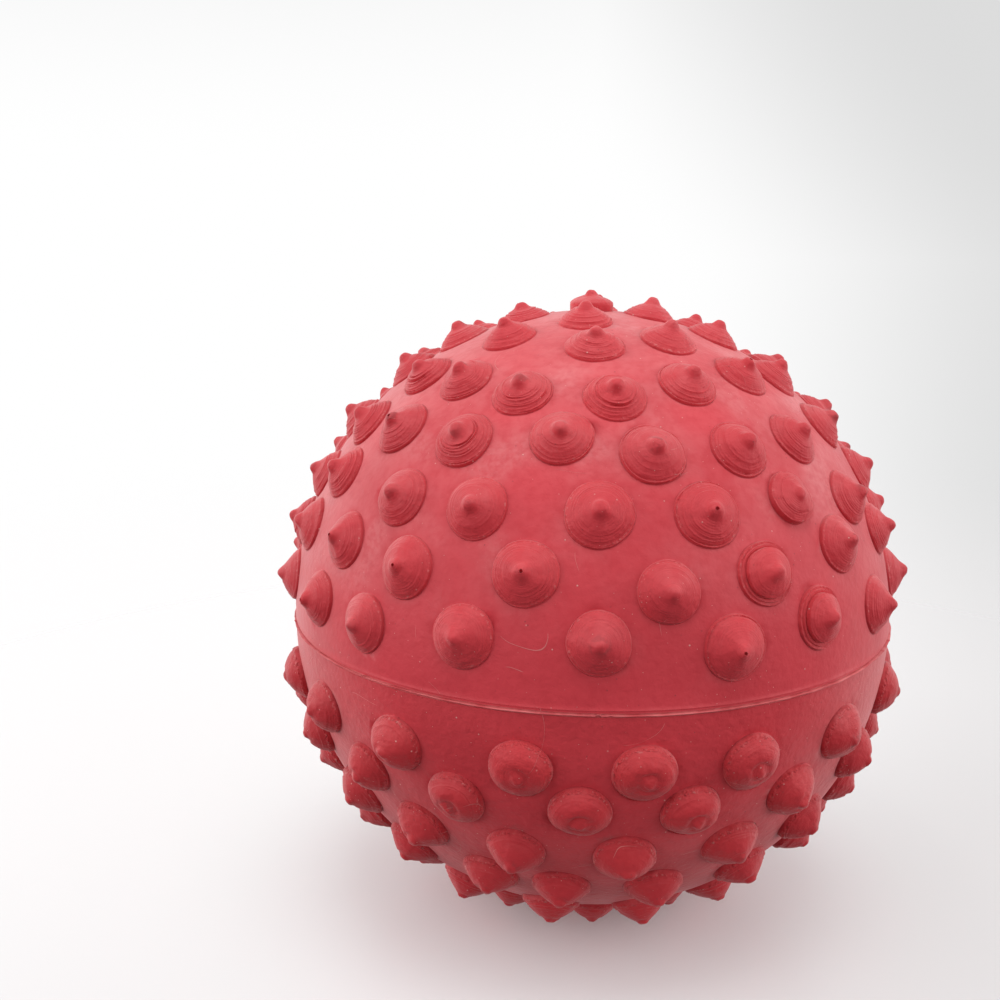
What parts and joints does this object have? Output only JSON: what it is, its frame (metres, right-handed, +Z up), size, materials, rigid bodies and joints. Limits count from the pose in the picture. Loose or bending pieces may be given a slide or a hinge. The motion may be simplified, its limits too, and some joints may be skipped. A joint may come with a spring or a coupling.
{
  "type": "sensory ball",
  "caption": "Hollow soft rubber baby ball covered in ridged, nippled bumps, made of two moulded halves bonded round the middle, to grip, roll and feel.",
  "frame": {"origin": "centre of the ball, in the plane of the seam", "axes": "+Z up through the upper pole, square to the seam; -Y is the pictured side"},
  "size_m": [0.0884, 0.0884, 0.0887],
  "materials": {
    "upper_rubber": "matte",
    "lower_rubber": "matte",
    "bond_rubber": "matte",
    "gum_rubber": "matte"
  },
  "bodies": {
    "root": {"upper_shell": "upper_rubber", "lower_shell": "lower_rubber", "seam_bond": "bond_rubber", "sealing_plug": "gum_rubber"}
  },
  "joints": []
}
